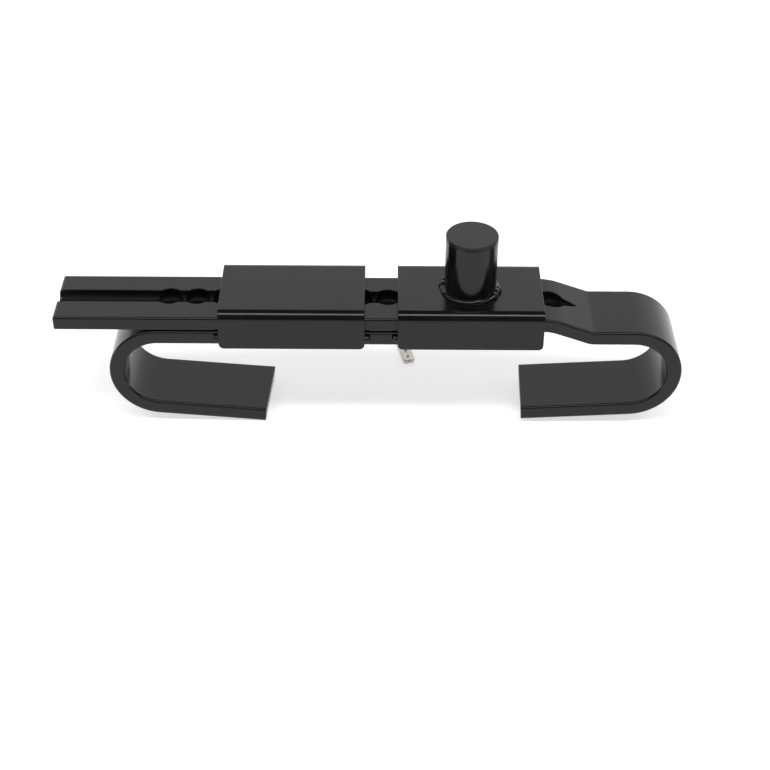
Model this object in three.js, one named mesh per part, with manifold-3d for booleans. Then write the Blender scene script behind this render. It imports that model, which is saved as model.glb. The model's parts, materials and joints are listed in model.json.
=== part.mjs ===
// Adjustable hook lock for a pair of upright door rods.
// Millimetres, +Z up. The origin is the rod seat of the fixed hook: the point on the underside of
// its flat bar, on the centre line, under which the first door rod stands. +X runs along the bars
// towards the sliding hook, and +Z points away from the door, out of the key housing's mouth.

import * as THREE from 'three';
import { mergeVertices } from 'three/addons/utils/BufferGeometryUtils.js';
import Module from 'manifold-3d';

const wasm = await Module();
wasm.setup();

// ---------- driving dimensions ----------

const BAR = { width: 38, thickness: 7.4 };
const HOOK = { insideRadius: 18.3, seatInset: 5, arcStep: Math.PI / 20 };
const FIXED_HOOK = { flare: 4.9, tipX: 48.5, tipSkew: 3.7, barEndX: 140 };
const SLIDING_HOOK = { flare: 3.4, tipX: 178.7, tipSkew: 1.9, leftEndX: -55.9, seatX: 227.2 };
const SAW = { margin: 3, length: 20, height: 30 };
const BAR_PLAY = 0.8;
const JOGGLE = { startX: 185.5, angle: 20, firstRadius: 28, secondRadius: 10, drop: 7.5 };

const BOLT_X = 150.4;
const HOLES = { count: 15, pitch: 13.65, radius: 6.7, depth: 6.3, indexAtRest: 11 };
const GROOVE = { width: 10, depth: 5, runOutX: 212 };
const SLOT_Y = 0.7;

const SLEEVE = {
  length: 72,
  wall: 4.7,
  foot: 0.8,
  sideGap: 0.1,
  topGap: 1.3,
  edgeRadius: 4.8,
  cornerRadius: 2.6,
};
const GUIDE_SLEEVE_X = 62;
const LOCK_SLEEVE_X = BOLT_X;

const TUBE = { outerRadius: 12.9, boreRadius: 10, height: 29.9 };
const CAP = { plate: 1.4, skirtRadius: 9.8, skirtBore: 8, skirtLength: 4, edge: 0.5 };
const O_RING = { radius: 9.2, wire: 0.72, drop: 2.4 };

const PUSH_TRAVEL = 3.4;
const BOLT = {
  radius: 5.5,
  tipAboveBar: 0.3,
  noseRadius: 3.2,
  noseLength: 3,
  lugAboveTip: 10,
  lugRadius: 7.15,
  lugWidth: 4,
  lugHeight: 2,
  pinAboveLug: 1.6,
  topAbovePin: 2,
};
const RUNNING_GAP = 0.06;

const SHELL = {
  outerRadius: 9.92,
  boreRadius: 8.1,
  flangeHeight: 1.1,
  lugGap: 0.15,
  rimAboveBarrel: 0.4,
  length: 25.4,
};
const BARREL = { radius: 8.04, bore: 4.56, length: 12.6 };
const PLUG = {
  radius: 4.5,
  recess: 0.3,
  tailRadius: 3.4,
  keywayWidth: 6.9,
  keywayThickness: 2.5,
  keywayDepth: 13,
};
const CIRCLIP = { outerRadius: 6.4, thickness: 0.8, play: 0.3, grooveRadius: 3.7, mouth: 5 };
const SPRING = { wire: 0.6, turns: 4, steps: 18 };
const PINS = { stop: 1, roll: 1.5, cross: 1 };
const TUMBLER = { count: 4, spacing: 2.6, radius: 0.85, driver: 1.5, topDrop: 2.2, springWire: 0.2 };

const KEY = { bladeLength: 26, bladeWidth: 6.4, thickness: 2.2, bowRadius: 10.5, bowHole: 2.6 };
const KEY_TIP = { x: 121.6, y: 31.2 };
const KEY_TURN = 13;

const WELD = { seam: 2.8, tack: 3, tackMargin: 0.4, ring: 2.9, gap: 0.05 };

const ROUND = 36;
const HOLE_ROUND = 28;
const SMALL_ROUND = 20;
const PIN_ROUND = 14;

// ---------- levels worked out from them ----------

const slideBottomZ = BAR.thickness + BAR_PLAY;
const slideTopZ = slideBottomZ + BAR.thickness;
const sleeveInsideZ = slideTopZ + SLEEVE.topGap;
const sleeveTopZ = sleeveInsideZ + SLEEVE.wall;
const sleeveInsideWidth = BAR.width + 2 * SLEEVE.sideGap;
const sleeveWidth = sleeveInsideWidth + 2 * SLEEVE.wall;
const tubeTopZ = sleeveTopZ + TUBE.height;
const hookCentreRadius = HOOK.insideRadius + BAR.thickness / 2;
const boltTipZ = slideTopZ + BOLT.tipAboveBar;
const lugBottomZ = boltTipZ + BOLT.lugAboveTip;
const lugTopZ = lugBottomZ + BOLT.lugHeight;
const flangeTopZ = lugBottomZ - SHELL.lugGap;
const flangeBottomZ = flangeTopZ - SHELL.flangeHeight;
const shellBottomZ = sleeveTopZ + WELD.gap;
const shellTopZ = shellBottomZ + SHELL.length;
const barrelTopZ = shellTopZ - SHELL.rimAboveBarrel;
const barrelBottomZ = barrelTopZ - BARREL.length;
const plugTopZ = barrelTopZ - PLUG.recess;
const plugShoulderZ = barrelBottomZ - CIRCLIP.thickness - CIRCLIP.play;
const crossPinZ = lugTopZ + BOLT.pinAboveLug;
const boltTopZ = crossPinZ + BOLT.topAbovePin;
const floorZ = -48.6;

// ---------- materials ----------

const FINISH = {
  blackCoat: { color: 0x1c1c1e, roughness: 0.42, metalness: 0.1 },
  weld: { color: 0x17171a, roughness: 0.5, metalness: 0.1 },
  cap: { color: 0x18181b, roughness: 0.4, metalness: 0 },
  steel: { color: 0x9b9ea3, roughness: 0.3, metalness: 1 },
  brass: { color: 0xb7924a, roughness: 0.3, metalness: 1 },
  nickel: { color: 0xc9c5bb, roughness: 0.25, metalness: 1 },
  rubber: { color: 0x111111, roughness: 0.8, metalness: 0 },
};

const assembly = new THREE.Group();

function addPart(name, geometry, finish, parent = assembly) {
  const mesh = new THREE.Mesh(geometry, new THREE.MeshStandardMaterial(FINISH[finish]));
  mesh.name = name;
  parent.add(mesh);
  return mesh;
}

// ---------- solid helpers ----------

function solid(geometry) {
  const bare = geometry.index ? geometry.toNonIndexed() : geometry.clone();
  bare.deleteAttribute('normal');
  bare.deleteAttribute('uv');
  const merged = mergeVertices(bare, 1e-4);
  return new wasm.Manifold(new wasm.Mesh({
    numProp: 3,
    vertProperties: new Float32Array(merged.attributes.position.array),
    triVerts: new Uint32Array(merged.index.array),
  }));
}

function geometryOf(manifold) {
  const mesh = manifold.getMesh();
  const geometry = new THREE.BufferGeometry();
  geometry.setAttribute('position', new THREE.BufferAttribute(mesh.vertProperties, mesh.numProp));
  geometry.setIndex(new THREE.BufferAttribute(mesh.triVerts, 1));
  return geometry;
}

function cut(body, ...tools) {
  return geometryOf(tools.reduce((rest, tool) => rest.subtract(solid(tool)), solid(body)));
}

function join(body, ...others) {
  return geometryOf(others.reduce((whole, other) => whole.add(solid(other)), solid(body)));
}

function common(first, second) {
  return geometryOf(solid(first).intersect(solid(second)));
}

function box(width, depth, height, x = 0, y = 0, z = 0) {
  return new THREE.BoxGeometry(width, depth, height).translate(x, y, z);
}

// An upright cylinder between two heights.
function rod(radius, bottomZ, topZ, segments = ROUND) {
  const geometry = new THREE.CylinderGeometry(radius, radius, topZ - bottomZ, segments);
  return geometry.rotateX(Math.PI / 2).translate(0, 0, (bottomZ + topZ) / 2);
}

// A cylinder lying along Y between two places.
function crossRod(radius, startY, endY, z, segments = SMALL_ROUND) {
  const geometry = new THREE.CylinderGeometry(radius, radius, endY - startY, segments);
  return geometry.translate(0, (startY + endY) / 2, z);
}

// A turned piece: pairs of radius and height, closed on itself or on the axis.
function turned(profile, segments = ROUND) {
  const points = profile.map(([radius, z]) => new THREE.Vector2(radius, z));
  return new THREE.LatheGeometry(points, segments).rotateX(Math.PI / 2);
}

function ringProfile(innerRadius, outerRadius, bottomZ, topZ) {
  return [[innerRadius, bottomZ], [outerRadius, bottomZ], [outerRadius, topZ],
    [innerRadius, topZ], [innerRadius, bottomZ]];
}

// An outline in X and Z, carried across Y about the centre plane.
function acrossY(outline, width) {
  const shape = new THREE.Shape(outline.map(([x, z]) => new THREE.Vector2(x, z)));
  const geometry = new THREE.ExtrudeGeometry(shape, { depth: width, bevelEnabled: false });
  return geometry.rotateX(Math.PI / 2).translate(0, width / 2, 0);
}

// An outline in Y and Z, carried along X about a middle.
function alongX(outline, length, middleX) {
  const shape = new THREE.Shape(outline.map(([y, z]) => new THREE.Vector2(y, z)));
  const geometry = new THREE.ExtrudeGeometry(shape, { depth: length, bevelEnabled: false });
  const turn = new THREE.Matrix4().makeBasis(
    new THREE.Vector3(0, 1, 0),
    new THREE.Vector3(0, 0, 1),
    new THREE.Vector3(1, 0, 0),
  );
  return geometry.applyMatrix4(turn).translate(middleX - length / 2, 0, 0);
}

function arcPoints(centreX, centreZ, radius, fromAngle, toAngle, steps) {
  return Array.from({ length: steps + 1 }, (_, i) => {
    const angle = fromAngle + ((toAngle - fromAngle) * i) / steps;
    return [centreX + radius * Math.cos(angle), centreZ + radius * Math.sin(angle)];
  });
}

// ---------- bent flat bars ----------

// Walks a bar's centre line. Each leg is a straight length, or a bend of a radius through an angle,
// where a positive angle turns left.
function walkCentreLine(start, heading, legs) {
  const stations = [{ x: start[0], z: start[1], heading }];
  for (const leg of legs) {
    const from = stations.at(-1);
    if (leg.length) {
      stations.push({
        x: from.x + leg.length * Math.cos(from.heading),
        z: from.z + leg.length * Math.sin(from.heading),
        heading: from.heading,
      });
      continue;
    }
    const side = Math.sign(leg.angle);
    const centreX = from.x - side * leg.radius * Math.sin(from.heading);
    const centreZ = from.z + side * leg.radius * Math.cos(from.heading);
    const steps = Math.ceil(Math.abs(leg.angle) / HOOK.arcStep);
    for (let i = 1; i <= steps; i += 1) {
      const heading2 = from.heading + (leg.angle * i) / steps;
      stations.push({
        x: centreX + side * leg.radius * Math.sin(heading2),
        z: centreZ - side * leg.radius * Math.cos(heading2),
        heading: heading2,
      });
    }
  }
  return stations;
}

function barOutline(stations) {
  const offset = (station, distance) => [
    station.x - distance * Math.sin(station.heading),
    station.z + distance * Math.cos(station.heading),
  ];
  const left = stations.map((station) => offset(station, BAR.thickness / 2));
  const right = stations.map((station) => offset(station, -BAR.thickness / 2));
  return [...left, ...right.reverse()];
}

// The waste beyond a leg's tip: the legs were sawn off a little out of square.
function sawCut(hook, side) {
  const waste = new THREE.BoxGeometry(SAW.length, 2 * BAR.width, SAW.height);
  waste.translate((side * SAW.length) / 2, 0, -2 * hookCentreRadius);
  return waste.rotateZ(-THREE.MathUtils.degToRad(hook.tipSkew)).translate(hook.tipX, 0, 0);
}

function fixedHookBar() {
  const bendX = -HOOK.seatInset;
  const flare = THREE.MathUtils.degToRad(FIXED_HOOK.flare);
  const bend = Math.PI - flare;
  const bendEndX = bendX - hookCentreRadius * Math.sin(flare);
  const stations = walkCentreLine([FIXED_HOOK.barEndX, BAR.thickness / 2], Math.PI, [
    { length: FIXED_HOOK.barEndX - bendX },
    { radius: hookCentreRadius, angle: bend },
    { length: (FIXED_HOOK.tipX + SAW.margin - bendEndX) / Math.cos(flare) },
  ]);
  return cut(acrossY(barOutline(stations), BAR.width), sawCut(FIXED_HOOK, 1));
}

function slidingHookBlank() {
  const bendX = SLIDING_HOOK.seatX + HOOK.seatInset;
  const flare = THREE.MathUtils.degToRad(SLIDING_HOOK.flare);
  const slope = THREE.MathUtils.degToRad(JOGGLE.angle);
  const bendsRadius = JOGGLE.firstRadius + JOGGLE.secondRadius;
  const bendsDrop = bendsRadius * (1 - Math.cos(slope));
  const ramp = (JOGGLE.drop - bendsDrop) / Math.sin(slope);
  const joggleLength = bendsRadius * Math.sin(slope) + ramp * Math.cos(slope);
  const bendEndX = bendX + hookCentreRadius * Math.sin(flare);
  const stations = walkCentreLine([SLIDING_HOOK.leftEndX, slideBottomZ + BAR.thickness / 2], 0, [
    { length: JOGGLE.startX - SLIDING_HOOK.leftEndX },
    { radius: JOGGLE.firstRadius, angle: -slope },
    { length: ramp },
    { radius: JOGGLE.secondRadius, angle: slope },
    { length: bendX - JOGGLE.startX - joggleLength },
    { radius: hookCentreRadius, angle: flare - Math.PI },
    { length: (bendEndX - SLIDING_HOOK.tipX + SAW.margin) / Math.cos(flare) },
  ]);
  return cut(acrossY(barOutline(stations), BAR.width), sawCut(SLIDING_HOOK, -1));
}

// The groove is cut level, so it runs out where the joggle carries the bar's face below its floor.
// It and the holes were cut a little to the rear of the bar's centre line.
function grooveCutter() {
  const radius = GROOVE.width / 2;
  const centreZ = slideTopZ - GROOVE.depth + radius;
  const startX = SLIDING_HOOK.leftEndX - 1;
  const outline = [
    ...arcPoints(0, centreZ, radius, Math.PI, 2 * Math.PI, 12),
    [radius, slideTopZ + 1],
    [-radius, slideTopZ + 1],
  ];
  const length = GROOVE.runOutX - startX;
  return alongX(outline, length, startX + length / 2).translate(0, SLOT_Y, 0);
}

function slidingHookBar() {
  const firstHoleX = BOLT_X - HOLES.indexAtRest * HOLES.pitch;
  const hole = rod(HOLES.radius, slideTopZ - HOLES.depth, slideTopZ + 1, HOLE_ROUND);
  const holes = Array.from({ length: HOLES.count }, (_, i) => (
    hole.clone().translate(firstHoleX + i * HOLES.pitch, SLOT_Y, 0)
  ));
  return cut(slidingHookBlank(), grooveCutter(), ...holes);
}

// ---------- sleeves, tube and welds ----------

// A pressed channel, open downwards: its two legs stand beside the bars and end a little above
// the underside of the fixed bar, and the lower corners of each leg are rounded.
function sleeve(middleX) {
  const outerY = sleeveWidth / 2;
  const innerY = sleeveInsideWidth / 2;
  const radius = SLEEVE.edgeRadius;
  const section = [
    [outerY, SLEEVE.foot],
    ...arcPoints(outerY - radius, sleeveTopZ - radius, radius, 0, Math.PI / 2, 6),
    ...arcPoints(radius - outerY, sleeveTopZ - radius, radius, Math.PI / 2, Math.PI, 6),
    [-outerY, SLEEVE.foot],
    [-innerY, SLEEVE.foot],
    [-innerY, sleeveInsideZ],
    [innerY, sleeveInsideZ],
    [innerY, SLEEVE.foot],
  ];
  const half = SLEEVE.length / 2;
  const corner = SLEEVE.cornerRadius;
  const cornerZ = SLEEVE.foot + corner;
  const side = [
    [middleX + half, sleeveTopZ],
    [middleX - half, sleeveTopZ],
    ...arcPoints(middleX - half + corner, cornerZ, corner, Math.PI, 1.5 * Math.PI, 4),
    ...arcPoints(middleX + half - corner, cornerZ, corner, 1.5 * Math.PI, 2 * Math.PI, 4),
  ];
  return common(alongX(section, SLEEVE.length, middleX), acrossY(side, sleeveWidth + 2));
}

function lockSleeve() {
  const boltHole = rod(BOLT.radius + RUNNING_GAP, sleeveInsideZ - 1, sleeveTopZ + 1);
  return cut(sleeve(LOCK_SLEEVE_X), boltHole.translate(BOLT_X, 0, 0));
}

function housingTube() {
  const tube = turned(ringProfile(TUBE.boreRadius, TUBE.outerRadius, sleeveTopZ + WELD.gap, tubeTopZ));
  const pinHole = crossRod(PINS.roll + 0.02, TUBE.boreRadius - 1, TUBE.outerRadius + 1, rollPinZ);
  return cut(tube, pinHole);
}

function housingWeld() {
  const inner = TUBE.outerRadius + WELD.gap;
  const bottom = sleeveTopZ + WELD.gap;
  return turned([
    [inner, bottom],
    [inner + WELD.ring, bottom],
    [inner + 0.72 * WELD.ring, bottom + 0.42 * WELD.ring],
    [inner + 0.42 * WELD.ring, bottom + 0.72 * WELD.ring],
    [inner, bottom + WELD.ring],
    [inner, bottom],
  ]);
}

// A small bead in the step between a leg's lower edge and the side of the fixed bar.
function seamWeld(side, startX, endX) {
  const inner = BAR.width / 2 + WELD.gap;
  const top = SLEEVE.foot - WELD.gap;
  const outline = [
    [side * inner, WELD.gap],
    [side * (inner + 0.6 * WELD.seam), 0.4 * top],
    [side * (inner + WELD.seam), top],
    [side * inner, top],
  ];
  return alongX(outline, endX - startX, (startX + endX) / 2);
}

// A short upright bead in the corner between the end of a leg and the edge of the fixed bar.
function tackWeld(side, endX, outward) {
  const y = side * (BAR.width / 2 + WELD.gap);
  const x = endX + outward * WELD.gap;
  const shape = new THREE.Shape([
    new THREE.Vector2(x, y),
    new THREE.Vector2(x + outward * WELD.tack, y),
    new THREE.Vector2(x + outward * 0.6 * WELD.tack, y + side * 0.6 * WELD.tack),
    new THREE.Vector2(x, y + side * WELD.tack),
  ]);
  const bottom = SLEEVE.foot + SLEEVE.cornerRadius + WELD.tackMargin;
  const depth = BAR.thickness - WELD.tackMargin - bottom;
  const bead = new THREE.ExtrudeGeometry(shape, { depth, bevelEnabled: false });
  return bead.translate(0, 0, bottom);
}

// ---------- cap ----------

function weatherCap() {
  const top = tubeTopZ + CAP.plate;
  const skirtBottom = tubeTopZ - CAP.skirtLength;
  const ringZ = tubeTopZ - O_RING.drop;
  const grooveHalf = O_RING.wire + 0.05;
  const grooveRadius = O_RING.radius - O_RING.wire - 0.03;
  return turned([
    [0, tubeTopZ],
    [CAP.skirtBore, tubeTopZ],
    [CAP.skirtBore, skirtBottom],
    [CAP.skirtRadius, skirtBottom],
    [CAP.skirtRadius, ringZ - grooveHalf],
    [grooveRadius, ringZ - grooveHalf],
    [grooveRadius, ringZ + grooveHalf],
    [CAP.skirtRadius, ringZ + grooveHalf],
    [CAP.skirtRadius, tubeTopZ + WELD.gap],
    [TUBE.outerRadius, tubeTopZ + WELD.gap],
    [TUBE.outerRadius, top - CAP.edge],
    [TUBE.outerRadius - CAP.edge, top],
    [0, top],
  ]);
}

function capORing() {
  const ringZ = tubeTopZ - O_RING.drop;
  return turned(arcPoints(O_RING.radius, ringZ, O_RING.wire, 0, 2 * Math.PI, 10), 36);
}

// ---------- push lock ----------

const rollPinZ = shellBottomZ + 12;
const stopPinZ = barrelBottomZ + 6;

function sector(innerRadius, outerRadius, width, bottomZ, topZ) {
  const length = 2 * outerRadius;
  const bar = box(length, width, topZ - bottomZ, 0, 0, (bottomZ + topZ) / 2);
  const disc = rod(outerRadius, bottomZ - 1, topZ + 1);
  const lugs = common(bar, disc);
  return innerRadius > 0 ? cut(lugs, rod(innerRadius, bottomZ - 1, topZ + 1)) : lugs;
}

// The fixed shell: a tube with a thin inner flange, slotted for the bolt's two bayonet lugs.
function lockShell() {
  const tube = turned(ringProfile(SHELL.boreRadius, SHELL.outerRadius, shellBottomZ, shellTopZ));
  const flange = turned(ringProfile(BOLT.radius + 0.2, SHELL.boreRadius + 0.5, flangeBottomZ, flangeTopZ));
  const slots = sector(0, BOLT.lugRadius + 0.2, BOLT.lugWidth + 0.5, flangeBottomZ - 1, flangeTopZ + 1);
  const pinBlind = crossRod(PINS.roll + 0.02, SHELL.boreRadius + 0.3, SHELL.outerRadius + 1, rollPinZ);
  const stopHole = crossRod(PINS.stop + 0.02, -SHELL.outerRadius - 1, -SHELL.boreRadius + 1, stopPinZ);
  return cut(join(tube, flange), slots, pinBlind, stopHole);
}

function shellRollPin() {
  return crossRod(PINS.roll, SHELL.boreRadius + 0.4, TUBE.outerRadius - 0.1, rollPinZ);
}

// The stop pin stands through the shell into a slot in the barrel. It limits the push and keeps the
// barrel from turning.
function barrelStopPin() {
  return crossRod(PINS.stop, -SHELL.outerRadius + 0.1, -BARREL.radius + 1.2, stopPinZ);
}

function tumblerZ(index) {
  return plugTopZ - TUMBLER.topDrop - index * TUMBLER.spacing;
}

function barrel() {
  const body = turned(ringProfile(BARREL.bore, BARREL.radius, barrelBottomZ, barrelTopZ));
  const slotTopZ = stopPinZ + PUSH_TRAVEL;
  const slotY = -BARREL.radius + 0.3;
  const slotWidth = 2 * PINS.stop + 0.1;
  const slot = join(
    box(slotWidth, 2.4, PUSH_TRAVEL, 0, slotY, stopPinZ + PUSH_TRAVEL / 2),
    crossRod(slotWidth / 2, slotY - 1.2, slotY + 1.2, stopPinZ),
    crossRod(slotWidth / 2, slotY - 1.2, slotY + 1.2, slotTopZ),
  );
  const wells = Array.from({ length: TUMBLER.count }, (_, i) => (
    crossRod(TUMBLER.radius + 0.05, BARREL.bore - 0.6, BARREL.radius - 0.4, tumblerZ(i), PIN_ROUND)
  ));
  return cut(body, slot, ...wells);
}

function plug() {
  const clipBottomZ = plugShoulderZ;
  const clipTopZ = clipBottomZ + CIRCLIP.thickness + 0.1;
  const body = turned([
    [0, lugTopZ + 0.1],
    [PLUG.tailRadius, lugTopZ + 0.1],
    [PLUG.tailRadius, boltTopZ + 0.3],
    [PLUG.radius, boltTopZ + 0.3],
    [PLUG.radius, clipBottomZ],
    [CIRCLIP.grooveRadius, clipBottomZ],
    [CIRCLIP.grooveRadius, clipTopZ],
    [PLUG.radius, clipTopZ],
    [PLUG.radius, plugTopZ],
    [0, plugTopZ],
  ]);
  const keywayBottomZ = plugTopZ - PLUG.keywayDepth;
  const keyway = box(PLUG.keywayWidth, PLUG.keywayThickness, PLUG.keywayDepth + 1,
    0, 0, keywayBottomZ + (PLUG.keywayDepth + 1) / 2);
  const pinHoles = Array.from({ length: TUMBLER.count }, (_, i) => (
    crossRod(TUMBLER.radius + 0.05, 0, PLUG.radius + 1, tumblerZ(i), PIN_ROUND)
  ));
  const crossHole = crossRod(PINS.cross + 0.02, -PLUG.radius - 1, PLUG.radius + 1, crossPinZ);
  return cut(body, keyway, crossHole, ...pinHoles);
}

function plugCirclip() {
  const z = plugShoulderZ + 0.05;
  const innerRadius = CIRCLIP.grooveRadius + 0.05;
  const ring = turned(ringProfile(innerRadius, CIRCLIP.outerRadius, z, z + CIRCLIP.thickness));
  return cut(ring, box(CIRCLIP.mouth, 12, 4, 0, -6, z));
}

// The bolt: a nose that rides in the bar's groove, a body that drops into one of its holes, two
// bayonet lugs, and a socket that the plug's tail is pinned into.
function bolt() {
  const body = turned([
    [0, boltTipZ - BOLT.noseLength],
    [BOLT.noseRadius - 0.5, boltTipZ - BOLT.noseLength],
    [BOLT.noseRadius, boltTipZ - BOLT.noseLength + 0.5],
    [BOLT.noseRadius, boltTipZ],
    [BOLT.radius - 0.6, boltTipZ],
    [BOLT.radius, boltTipZ + 0.6],
    [BOLT.radius, boltTopZ],
    [PLUG.tailRadius + 0.05, boltTopZ],
    [PLUG.tailRadius + 0.05, lugTopZ],
    [0, lugTopZ],
  ]);
  const lugs = sector(0, BOLT.lugRadius, BOLT.lugWidth, lugBottomZ, lugTopZ);
  const crossHole = crossRod(PINS.cross + 0.02, -BOLT.radius - 1, BOLT.radius + 1, crossPinZ);
  return cut(join(body, lugs), crossHole);
}

function boltCrossPin() {
  return crossRod(PINS.cross, -BOLT.radius + 0.1, BOLT.radius - 0.1, crossPinZ);
}

// ---------- springs and tumblers ----------

class Helix extends THREE.Curve {
  constructor(radius, height, turns, acrossAxis = false) {
    super();
    Object.assign(this, { radius, height, turns, acrossAxis });
  }

  getPoint(t, target = new THREE.Vector3()) {
    const angle = 2 * Math.PI * this.turns * t;
    const a = this.radius * Math.cos(angle);
    const b = this.radius * Math.sin(angle);
    const along = this.height * t;
    return this.acrossAxis ? target.set(b, along, a) : target.set(a, b, along);
  }
}

function coil(curve, wire, sides, steps) {
  const section = new THREE.Shape(arcPoints(0, 0, wire / 2, 0, 2 * Math.PI, sides)
    .slice(0, -1)
    .map(([x, y]) => new THREE.Vector2(x, y)));
  return new THREE.ExtrudeGeometry(section, { steps, extrudePath: curve, bevelEnabled: false });
}

function returnSpring() {
  const gap = 0.12;
  const bottomZ = flangeTopZ + SPRING.wire / 2 + gap;
  const topZ = barrelBottomZ - SPRING.wire / 2 - gap;
  const radius = SHELL.boreRadius - 0.1 - SPRING.wire / 2;
  const curve = new Helix(radius, topZ - bottomZ, SPRING.turns);
  return coil(curve, SPRING.wire, 6, SPRING.turns * SPRING.steps).translate(0, 0, bottomZ);
}

function pin(startY, endY, z, pointed) {
  const length = endY - startY;
  const tip = pointed ? 0.45 : 0.15;
  const profile = [
    [0, 0],
    [TUMBLER.radius - tip, 0],
    [TUMBLER.radius, tip],
    [TUMBLER.radius, length - 0.1],
    [TUMBLER.radius - 0.1, length],
    [0, length],
  ].map(([radius, along]) => new THREE.Vector2(radius, along));
  return new THREE.LatheGeometry(profile, PIN_ROUND).translate(0, startY, z);
}

function tumblerSpring(startY, endY, z) {
  const wire = TUMBLER.springWire;
  const curve = new Helix(TUMBLER.radius - wire, endY - startY - wire, 3, true);
  return coil(curve, wire, 5, 30).translate(0, startY + wire / 2, z);
}

// ---------- key ----------

// A flat key lying on its broad side: tip at the origin, blade and bow running back along +Y.
function keyBlank() {
  const halfBlade = KEY.bladeWidth / 2;
  const bowY = KEY.bladeLength + KEY.bowRadius - 1;
  const joint = Math.asin(halfBlade / KEY.bowRadius);
  const shape = new THREE.Shape();
  shape.moveTo(0, 0.9);
  shape.lineTo(0.9, 0);
  shape.lineTo(1.6, 0.1);
  shape.quadraticCurveTo(halfBlade, 0.6, halfBlade, 2.6);
  shape.lineTo(halfBlade, bowY - KEY.bowRadius * Math.cos(joint));
  shape.absarc(0, bowY, KEY.bowRadius, joint - Math.PI / 2, 1.5 * Math.PI - joint, false);
  shape.lineTo(-halfBlade, 2.6);
  shape.quadraticCurveTo(-halfBlade, 0.6, -1.6, 0.1);
  shape.lineTo(-0.9, 0);
  const hole = new THREE.Path();
  hole.absarc(0, bowY + KEY.bowRadius / 2, KEY.bowHole, 0, 2 * Math.PI, true);
  shape.holes.push(hole);
  return new THREE.ExtrudeGeometry(shape, { depth: KEY.thickness, bevelEnabled: false, curveSegments: 10 });
}

function keyPart() {
  const dimples = Array.from({ length: TUMBLER.count }, (_, i) => (
    rod(0.9, KEY.thickness - 0.6, KEY.thickness + 1, 12).translate(0, 3.9 + i * TUMBLER.spacing, 0)
  ));
  return cut(keyBlank(), ...dimples);
}

// ---------- assembly ----------

addPart('lower_hook_bar', fixedHookBar(), 'blackCoat');
addPart('sliding_hook_bar', slidingHookBar(), 'blackCoat');
addPart('guide_sleeve', sleeve(GUIDE_SLEEVE_X), 'blackCoat');
addPart('lock_sleeve', lockSleeve(), 'blackCoat');

const guideStartX = GUIDE_SLEEVE_X - SLEEVE.length / 2;
const guideEndX = GUIDE_SLEEVE_X + SLEEVE.length / 2;
const lockStartX = LOCK_SLEEVE_X - SLEEVE.length / 2;
for (const [label, side] of [['front', -1], ['rear', 1]]) {
  addPart(`guide_sleeve_seam_weld_${label}`, seamWeld(side, guideStartX + 8, guideEndX - 8), 'weld');
  addPart(`lock_sleeve_seam_weld_${label}`, seamWeld(side, lockStartX + 3, FIXED_HOOK.barEndX - 2), 'weld');
  addPart(`guide_sleeve_left_end_weld_${label}`, tackWeld(side, guideStartX, -1), 'weld');
  addPart(`guide_sleeve_right_end_weld_${label}`, tackWeld(side, guideEndX, 1), 'weld');
  addPart(`lock_sleeve_end_weld_${label}`, tackWeld(side, lockStartX, -1), 'weld');
}

const lockAxis = new THREE.Group();
lockAxis.position.set(BOLT_X, 0, 0);
assembly.add(lockAxis);

addPart('housing_tube', housingTube(), 'blackCoat', lockAxis);
addPart('housing_weld', housingWeld(), 'weld', lockAxis);
addPart('weather_cap', weatherCap(), 'cap', lockAxis);
addPart('cap_o_ring', capORing(), 'rubber', lockAxis);
addPart('lock_shell', lockShell(), 'steel', lockAxis);
addPart('shell_roll_pin', shellRollPin(), 'steel', lockAxis);
addPart('barrel_stop_pin', barrelStopPin(), 'steel', lockAxis);
addPart('barrel', barrel(), 'brass', lockAxis);
addPart('plug', plug(), 'brass', lockAxis);
addPart('plug_circlip', plugCirclip(), 'steel', lockAxis);
addPart('bolt', bolt(), 'steel', lockAxis);
addPart('bolt_cross_pin', boltCrossPin(), 'steel', lockAxis);
addPart('return_spring', returnSpring(), 'steel', lockAxis);

const shearRadius = PLUG.radius;
for (let i = 0; i < TUMBLER.count; i += 1) {
  const z = tumblerZ(i);
  const driverStart = shearRadius + 0.08;
  const springStart = driverStart + TUMBLER.driver + 0.05;
  const keyPin = pin(0.3 + 0.25 * (i % 3), shearRadius - 0.1, z, true);
  const driverPin = pin(driverStart, driverStart + TUMBLER.driver, z, false);
  const spring = tumblerSpring(springStart, BARREL.radius - 0.45, z);
  addPart(`key_pin_${i + 1}`, keyPin, 'brass', lockAxis);
  addPart(`driver_pin_${i + 1}`, driverPin, 'steel', lockAxis);
  addPart(`tumbler_spring_${i + 1}`, spring, 'steel', lockAxis);
}

const keyPlace = new THREE.Group();
keyPlace.position.set(KEY_TIP.x, KEY_TIP.y, floorZ);
keyPlace.rotation.z = THREE.MathUtils.degToRad(KEY_TURN);
assembly.add(keyPlace);
addPart('key', keyPart(), 'nickel', keyPlace);

export default assembly;
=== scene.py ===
# %% [markdown]
# # An adjustable hook lock, piece by piece
# The lock holds two upright door rods together. One flat bar is bent into a hook and carries two
# sleeves; a second hooked bar slides in them, and a push bolt in a round housing drops into one of
# its holes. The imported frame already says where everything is, so every size below is either read
# from it or is a named value of the real object.

# %% Load the frame
import json
import math

import bmesh
import bpy
import numpy as np
from mathutils import Matrix, Vector


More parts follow.
